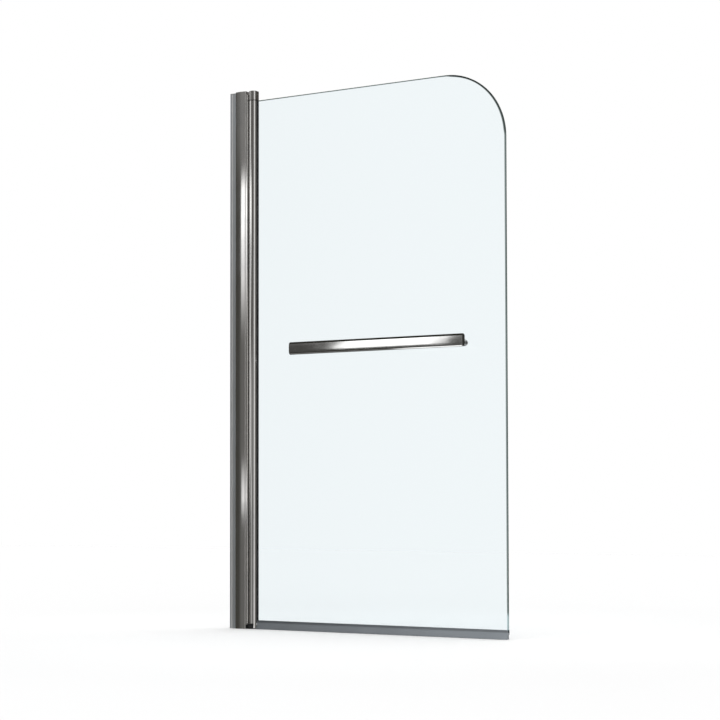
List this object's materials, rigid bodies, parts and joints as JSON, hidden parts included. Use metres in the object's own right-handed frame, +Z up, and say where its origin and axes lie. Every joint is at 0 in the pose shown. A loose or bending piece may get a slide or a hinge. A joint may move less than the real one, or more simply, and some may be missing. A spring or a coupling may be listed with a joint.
{
  "type": "bath screen",
  "caption": "Hinged bath screen: a glass panel with one rounded top corner and a towel rail, swinging on a chrome pivot post that telescopes over a wall channel, with a drip seal below.",
  "frame": {"origin": "on the wall face of the wall channel, at the rim of the bath and in the middle of the glass thickness", "axes": "+X from the wall along the glass, +Y towards the bath side that has no rail, +Z up"},
  "size_m": [0.804, 0.0716, 1.4],
  "materials": {
    "chrome_extrusion": "bright polished, chrome look",
    "satin_extrusion": "satin polished",
    "chrome_casting": "bright chrome",
    "chrome_rail": "bright chrome",
    "steel": "turned stainless",
    "glass": "clear toughened, polished edges",
    "grey_pvc": "translucent slate grey",
    "clear_pvc": "clear soft plastic",
    "black_plastic": "moulded black",
    "black_rubber": "matt black"
  },
  "bodies": {
    "wall_side": {"wall_channel": "satin_extrusion", "channel_top_cap": "chrome_casting", "channel_bottom_plug": "black_plastic"},
    "pivot_side": {"pivot_post": "chrome_extrusion", "post_top_cap": "chrome_casting", "trough_strip": "black_rubber", "top_pivot_bracket": "chrome_casting", "bottom_pivot_bracket": "black_plastic", "top_pivot_pin": "steel", "bottom_pivot_pin": "steel", "top_bracket_screws": "steel", "bottom_bracket_screws": "steel", "clamp_screws": "steel", "clamp_nuts": "steel", "screw_covers": "chrome_casting"},
    "swing_side": {"swing_column": "chrome_extrusion", "top_pivot_bush": "black_plastic", "bottom_pivot_bush": "black_plastic", "glazing_gasket_front": "black_rubber", "glazing_gasket_back": "black_rubber", "setting_blocks": "black_rubber", "glass_panel": "glass", "bottom_seal": "grey_pvc", "towel_rail_tube": "chrome_rail", "rail_end_cap_left": "chrome_casting", "rail_end_cap_right": "chrome_casting", "rail_standoff_left": "chrome_casting", "rail_standoff_right": "chrome_casting", "rail_washers_front": "black_rubber", "rail_washers_back": "black_rubber", "rail_glass_sleeves": "clear_pvc", "rail_studs": "steel", "rail_back_buttons": "chrome_casting"}
  },
  "joints": [
    {"name": "wall_adjustment", "type": "slide", "parent": "wall_side", "child": "pivot_side", "axis": [1, 0, 0], "range_m": [-0.01, 0.004]},
    {"name": "screen_pivot", "type": "hinge", "parent": "pivot_side", "child": "swing_side", "pos_m": [0.0659, 0, 0], "axis": [0, 0, 1], "range_deg": [-90, 90]}
  ]
}
